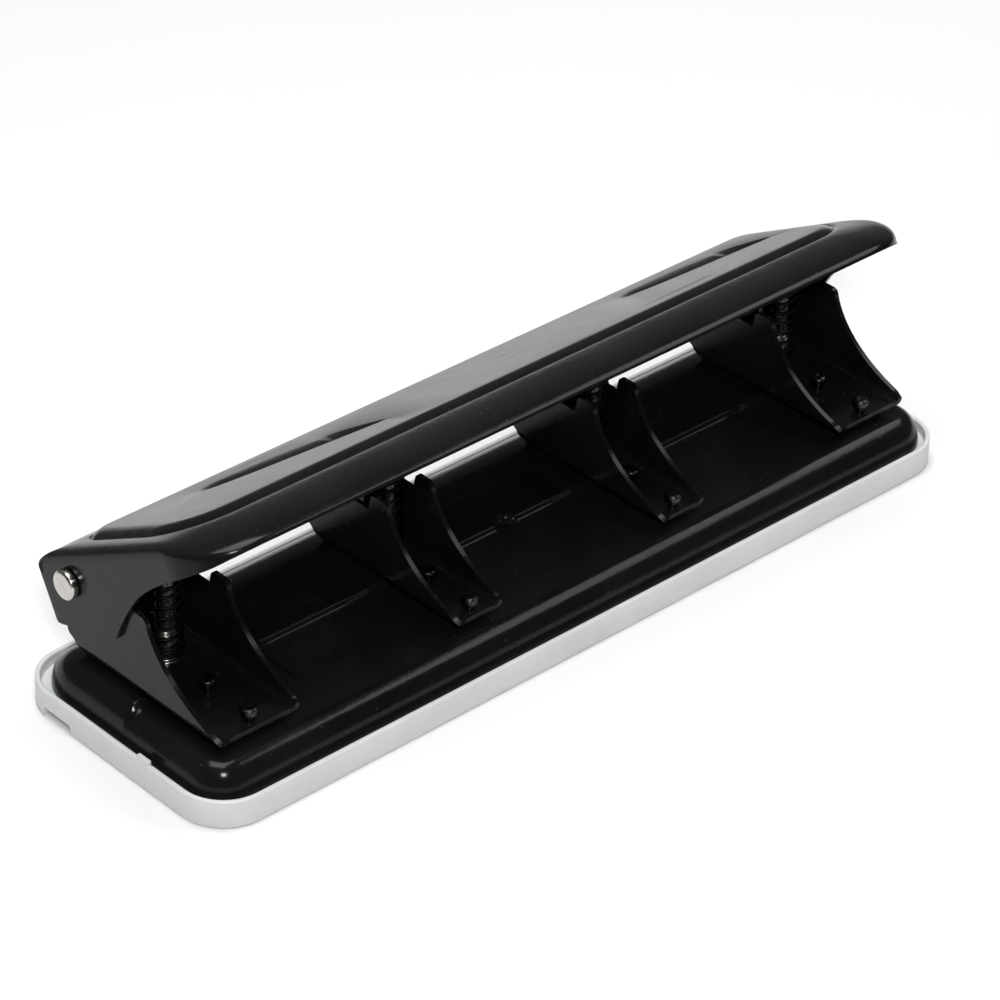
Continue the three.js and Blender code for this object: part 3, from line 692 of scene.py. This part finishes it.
def chip_tray():
    """A shallow pan with rounded lips, and a ledge inside its wall that carries the base."""
    low, high = box_mm("chip_tray")
    x_half, y_half = (high[0] - low[0]) / 2, (high[1] - low[1]) / 2
    top = high[2] - TAB["rise"]
    corner, wall, ledge, shelf, floor, foot = TRAY.values()
    # (inset, height) from the foot, up the outside, over the lip, down to the ledge and to the floor
    profile = [
        (foot, 0), (0.2, 0.2), (0, foot),
        (0, top - 0.7), (0.1, top - 0.3), (0.35, top - 0.06), (0.7, top), (0.95, top),
        (wall - 0.35, top - 0.06), (wall - 0.1, top - 0.3), (wall, top - 0.7),
        (wall, shelf + 0.4), (wall + 0.15, shelf + 0.05), (wall + 0.5, shelf),
        (ledge - 0.4, shelf), (ledge - 0.1, shelf - 0.15), (ledge, shelf - 0.5),
        (ledge, floor + 0.9), (ledge + 0.3, floor + 0.2), (ledge + 0.9, floor), (ledge + 1.4, floor),
    ]
    surface = Surface()

    def plan(inset):
        return ring(x_half - inset, -y_half + inset, y_half - inset, corner - inset, corner - inset,
                    (24, 12), 18)

    surface.loft([at_height(plan(inset), z) for inset, z in profile])
    surface.fill(plan(profile[-1][0]), lambda flat: at_height(flat, floor))
    margin = foot + 0.6
    surface.loft([at_height(plan(margin), 0), at_height(plan(foot), 0)])
    surface.fill(plan(margin), lambda flat: at_height(flat, 0), up=False)
    tray = surface.make("tray")
    for side in (-1, 1):
        add_tab(tray, side, x_half, top)
    cut_pull(tray, x_half)
    finish_piece(tray, PLASTIC, "tray", ["chip_tray"])


def block(name, low, high, edge):
    """A box from corner to corner, in millimetres, with rounded edges."""
    bm = bmesh.new()
    bmesh.ops.create_cube(bm, size=1)
    size, middle = np.subtract(high, low), np.add(low, high) / 2
    bmesh.ops.scale(bm, vec=Vector(size * MM), verts=bm.verts)
    bmesh.ops.translate(bm, vec=Vector(middle * MM), verts=bm.verts)
    bmesh.ops.bevel(bm, geom=bm.edges, offset=edge * MM, segments=3, profile=0.5, affect="EDGES")
    mesh = bpy.data.meshes.new(name)
    bm.to_mesh(mesh)
    bm.free()
    obj = bpy.data.objects.new(name, mesh)
    bpy.context.scene.collection.objects.link(obj)
    return obj


def combine(obj, other, operation):
    """Joins or cuts obj with other, applies the result and removes other."""
    boolean = obj.modifiers.new("solid", "BOOLEAN")
    boolean.operation = operation
    boolean.solver = "EXACT"
    boolean.object = other
    depsgraph = bpy.context.evaluated_depsgraph_get()
    mesh = bpy.data.meshes.new_from_object(obj.evaluated_get(depsgraph))
    obj.modifiers.clear()
    obj.data = mesh
    bpy.data.objects.remove(other)


def add_tab(tray, side, x_half, top):
    """The snap tab on one end wall."""
    inner, outer = sorted([side * (x_half - TAB["inset"]), side * (x_half - TAB["thickness"])])
    tab = block("tab", (inner, TAB["front"], top - TAB["root"]),
                (outer, TAB["rear"], top + TAB["rise"]), 0.35)
    combine(tray, tab, "UNION")


def cut_pull(tray, x_half):
    """The finger hollow under the left end."""
    beyond = 2
    pull = block("pull", (-x_half - beyond, PULL["front"], -beyond),
                 (-x_half + PULL["reach"], PULL["rear"], PULL["height"]), 0.6)
    combine(tray, pull, "DIFFERENCE")


# ---- Small turned parts ----------------------------------------------------------------------

def turned_piece(name, profile, centre, material, body, node, axis="z"):
    piece = Surface().turn(profile, centre, axis).make(name, sharp=35)
    finish_piece(piece, material, body, [node])


def rounded(profile, radius):
    """Rounds the corners of a half profile."""
    points = [np.array(p, float) for p in profile]
    result = [points[0]]
    for before, corner, after in zip(points, points[1:], points[2:]):
        reach = min(radius, np.linalg.norm(before - corner) / 2.1, np.linalg.norm(after - corner) / 2.1)
        start = corner + (before - corner) / np.linalg.norm(before - corner) * reach
        end = corner + (after - corner) / np.linalg.norm(after - corner) * reach
        result.extend(bezier([start, corner, end], 4))
    return result + [points[-1]]


FASTENER = {"head": 2.5, "shank": 1.5}  # radii of the rivets and the studs


def upright(node):
    """Where a node stands: its middle in plan, its lowest height and its highest."""
    low, high = box_mm(node)
    x, y = (low[:2] + high[:2]) / 2
    return (x, y, 0), low[2], high[2]


def rear_rivet(name):
    """A rivet with a flat head below and a domed one above."""
    place, bottom, top = upright(f"rear_{name}")
    head, shank = FASTENER["head"], FASTENER["shank"]
    flat, round_head = 0.9, 1.2
    crown = top - round_head
    dome = arc(0, crown, head, round_head, 0, 88, 10)
    lower = rounded([(0.1, bottom), (head, bottom), (head, bottom + flat), (shank, bottom + flat)], 0.25)
    profile = [(0, bottom), *lower, (shank, crown), (head, crown - 0.02), *dome, (0, top)]
    turned_piece(name, profile, place, DARK, "frame", f"rear_{name}")


def floor_stud(name):
    """A stud with a dished button head."""
    place, bottom, top = upright(f"floor_{name}")
    head, shank = FASTENER["head"], FASTENER["shank"]
    foot = top - 2.6
    button = rounded([
        (shank + 0.1, foot), (head, foot), (head, top - 0.5), (shank + 0.1, top), (0.6, top - 0.15),
        (0, top - 0.35)], 0.45)
    profile = [(0, bottom), (shank, bottom), (shank, foot), *button]
    turned_piece(name, profile, place, DARK, "frame", f"floor_{name}")


def guide_bush(index):
    """A sleeve whose flange lies on the stand's floor."""
    node = f"guide_bush_{index}"
    place, bottom, top = upright(node)
    bore, outside, flange_radius = PUNCH_HOLE, 3.9, 5.0
    flange = top - 9.0
    profile = rounded([
        (bore, bottom), (outside, bottom), (outside, flange), (flange_radius, flange),
        (flange_radius, flange + 1), (outside, flange + 1), (outside, top), (bore, top),
        (bore, bottom)], 0.25)
    turned_piece(f"bush_{index}", profile, place, PLATED, "frame", node)


def punch(index):
    """A pin with a hollow-ground tip and a flat head."""
    node = f"punch_{index}"
    place, bottom, top = upright(node)
    radius, head, hollow = 3.0, 4.6, 0.9
    neck = top - 2.2
    profile = [(0, bottom + hollow), *rounded([
        (0.05, bottom + hollow), (radius, bottom), (radius, neck), (head, neck), (head, top),
        (0, top)], 0.18)]
    turned_piece(f"pin_{index}", profile, place, GROUND, node, node)


def spring(index):
    """A compression spring with close end coils, carried on its punch's body."""
    node = f"punch_spring_{index}"
    (x, y, _), bottom, top = upright(node)
    wire, radius = 0.55, 4.75
    turns, steps, sides = 8.5, 26, 12
    closed, opened = 1.12, 3.8  # rise of a turn at the ends and between
    turn = np.linspace(0, turns, int(turns * steps) + 1)
    from_end = np.minimum(turn, turns - turn)
    pitch = np.interp(from_end, [0.9, 1.4], [closed, opened])
    rise = np.concatenate([[0], np.cumsum((pitch[1:] + pitch[:-1]) / 2 * np.diff(turn))])
    z = bottom + wire + rise / rise[-1] * (top - bottom - 2 * wire)
    angle = 2 * math.pi * turn
    out = np.column_stack([np.cos(angle), np.sin(angle), np.zeros_like(angle)])
    path = out * radius + np.column_stack([np.full_like(z, x), np.full_like(z, y), z])
    up = np.array([0, 0, 1.0])
    rings = []
    for around in np.linspace(0, 2 * math.pi, sides, endpoint=False):
        rings.append(path + wire * (math.cos(around) * out + math.sin(around) * up))
    tube = np.stack(rings, axis=1)
    surface = Surface().loft(list(tube[::-1]))
    for end, order in ((tube[0], 1), (tube[-1], -1)):
        first = surface.add(end)
        surface.faces.append(tuple(range(first, first + sides))[::order])
    piece = surface.make(f"coil_{index}")
    finish_piece(piece, WIRE, f"punch_{index}", [node])
    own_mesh(piece)


def hinge_rod():
    """The rod with its chamfered head at the left, and the cap pressed on at the right."""
    place = (0, HINGE_Y, HINGE_Z)
    head, rod, socket, chamfer = 4.5, 2.5, 2.8, 0.6
    left, right = (corner[0] for corner in box_mm("hinge_rod"))
    neck = left + 2.4
    profile = [(0, left), *rounded([
        (0.1, left), (head - chamfer, left), (head, left + chamfer), (head, neck), (rod, neck),
        (rod, right), (0, right)], 0.3)]
    turned_piece("rod", profile, place, PLATED, "frame", "hinge_rod", axis="x")
    left, right = (corner[0] for corner in box_mm("rod_cap"))
    depth = left + 1.3
    profile = [(socket, left), *rounded([
        (socket + 0.1, left), (head, left), (head, right - 0.6), (3.8, right), (0, right)], 0.3),
        (0, depth), (socket, depth), (socket, left)]
    turned_piece("end_cap", profile, place, PLATED, "frame", "rod_cap", axis="x")


def dress(node, material, edge=0.3):
    """A CAD node that stays, with its material and softened edges."""
    obj = frame["nodes"][node]
    obj.data.materials.clear()
    obj.data.materials.append(material)
    soften(obj, edge, 30)


lever_hood()
base_plate()
chip_tray()
for i in (1, 2, 3, 4):
    stand(i)
    for letter in "ab":
        rear_rivet(f"rivet_{i}{letter}")
        floor_stud(f"stud_{i}{letter}")
    guide_bush(i)
    punch(i)
    spring(i)
    dress(f"stop_block_{i}", DARK)
hinge_rod()
dress("press_bar", PLATED)


# ---- Studio ----------------------------------------------------------------------------------

def add_floor():
    mesh = bpy.data.meshes.new("floor")
    half = 8.0
    corners = [(-half, -half, 0), (half, -half, 0), (half, half, 0), (-half, half, 0)]
    mesh.from_pydata(corners, [], [(0, 1, 2, 3)])
    floor = bpy.data.objects.new("floor", mesh)
    bpy.context.scene.collection.objects.link(floor)
    floor.data.materials.append(pale_floor())


def add_light(name, place, target, size, power):
    data = bpy.data.lights.new(name, "AREA")
    data.shape = "RECTANGLE"
    data.size, data.size_y = size
    data.energy = power
    light = bpy.data.objects.new(name, data)
    bpy.context.scene.collection.objects.link(light)
    light.location = place
    light.rotation_euler = (Vector(target) - Vector(place)).to_track_quat("-Z", "Y").to_euler()


def add_world():
    """A dim room that is darkest on the camera's side, so that the enamel stays black there."""
    world = bpy.data.worlds.new("studio")
    bpy.context.scene.world = world
    world.use_nodes = True
    nodes, links = world.node_tree.nodes, world.node_tree.links
    coords = nodes.new("ShaderNodeTexCoord")
    split = nodes.new("ShaderNodeSeparateXYZ")
    links.new(coords.outputs["Generated"], split.inputs[0])
    across = nodes.new("ShaderNodeMapRange")
    across.interpolation_type = "SMOOTHSTEP"
    across.inputs["From Min"].default_value, across.inputs["From Max"].default_value = -0.3, 0.8
    across.inputs["To Min"].default_value, across.inputs["To Max"].default_value = 0.015, 0.14
    links.new(split.outputs["Y"], across.inputs["Value"])
    background = nodes["Background"]
    background.inputs["Color"].default_value = (1, 1, 1, 1)
    links.new(across.outputs["Result"], background.inputs["Strength"])


def add_camera():
    """Left of the front and 33 degrees up, with a slight roll, aimed a little off the part's middle."""
    azimuth, elevation, roll = (math.radians(a) for a in (-43.59, 33.21, -1.56))
    distance, lens = 1.1497, 143.8
    right = Vector((math.cos(azimuth), math.sin(azimuth), 0))
    back = Vector((math.sin(azimuth) * math.cos(elevation), -math.cos(azimuth) * math.cos(elevation),
                   math.sin(elevation)))
    up = back.cross(right)
    target = Vector((0, -0.0046, 0.0295)) - 0.0048 * right - 0.00203 * up
    tilted_right = right * math.cos(roll) - up * math.sin(roll)
    tilted_up = right * math.sin(roll) + up * math.cos(roll)
    data = bpy.data.cameras.new("camera")
    data.lens, data.sensor_width = lens, 36.0
    data.clip_start, data.clip_end = 0.05, 50
    camera = bpy.data.objects.new("camera", data)
    bpy.context.scene.collection.objects.link(camera)
    turn = Matrix((tilted_right, tilted_up, back)).transposed().to_4x4()
    camera.matrix_world = Matrix.Translation(target + back * distance) @ turn
    bpy.context.scene.camera = camera


add_floor()
add_world()
add_light("overhead", (-0.05, 0.15, 1.6), (0, 0.05, 0), (1.4, 1.0), 27)
add_light("side", (1.25, -0.35, 1.5), (0, 0, 0), (1.5, 0.5), 9)
add_light("key", (-0.68, -0.85, 0.90), (0, 0, 0.03), (0.20, 0.20), 9.0)
add_camera()
bpy.context.scene.view_settings.view_transform = "Standard"
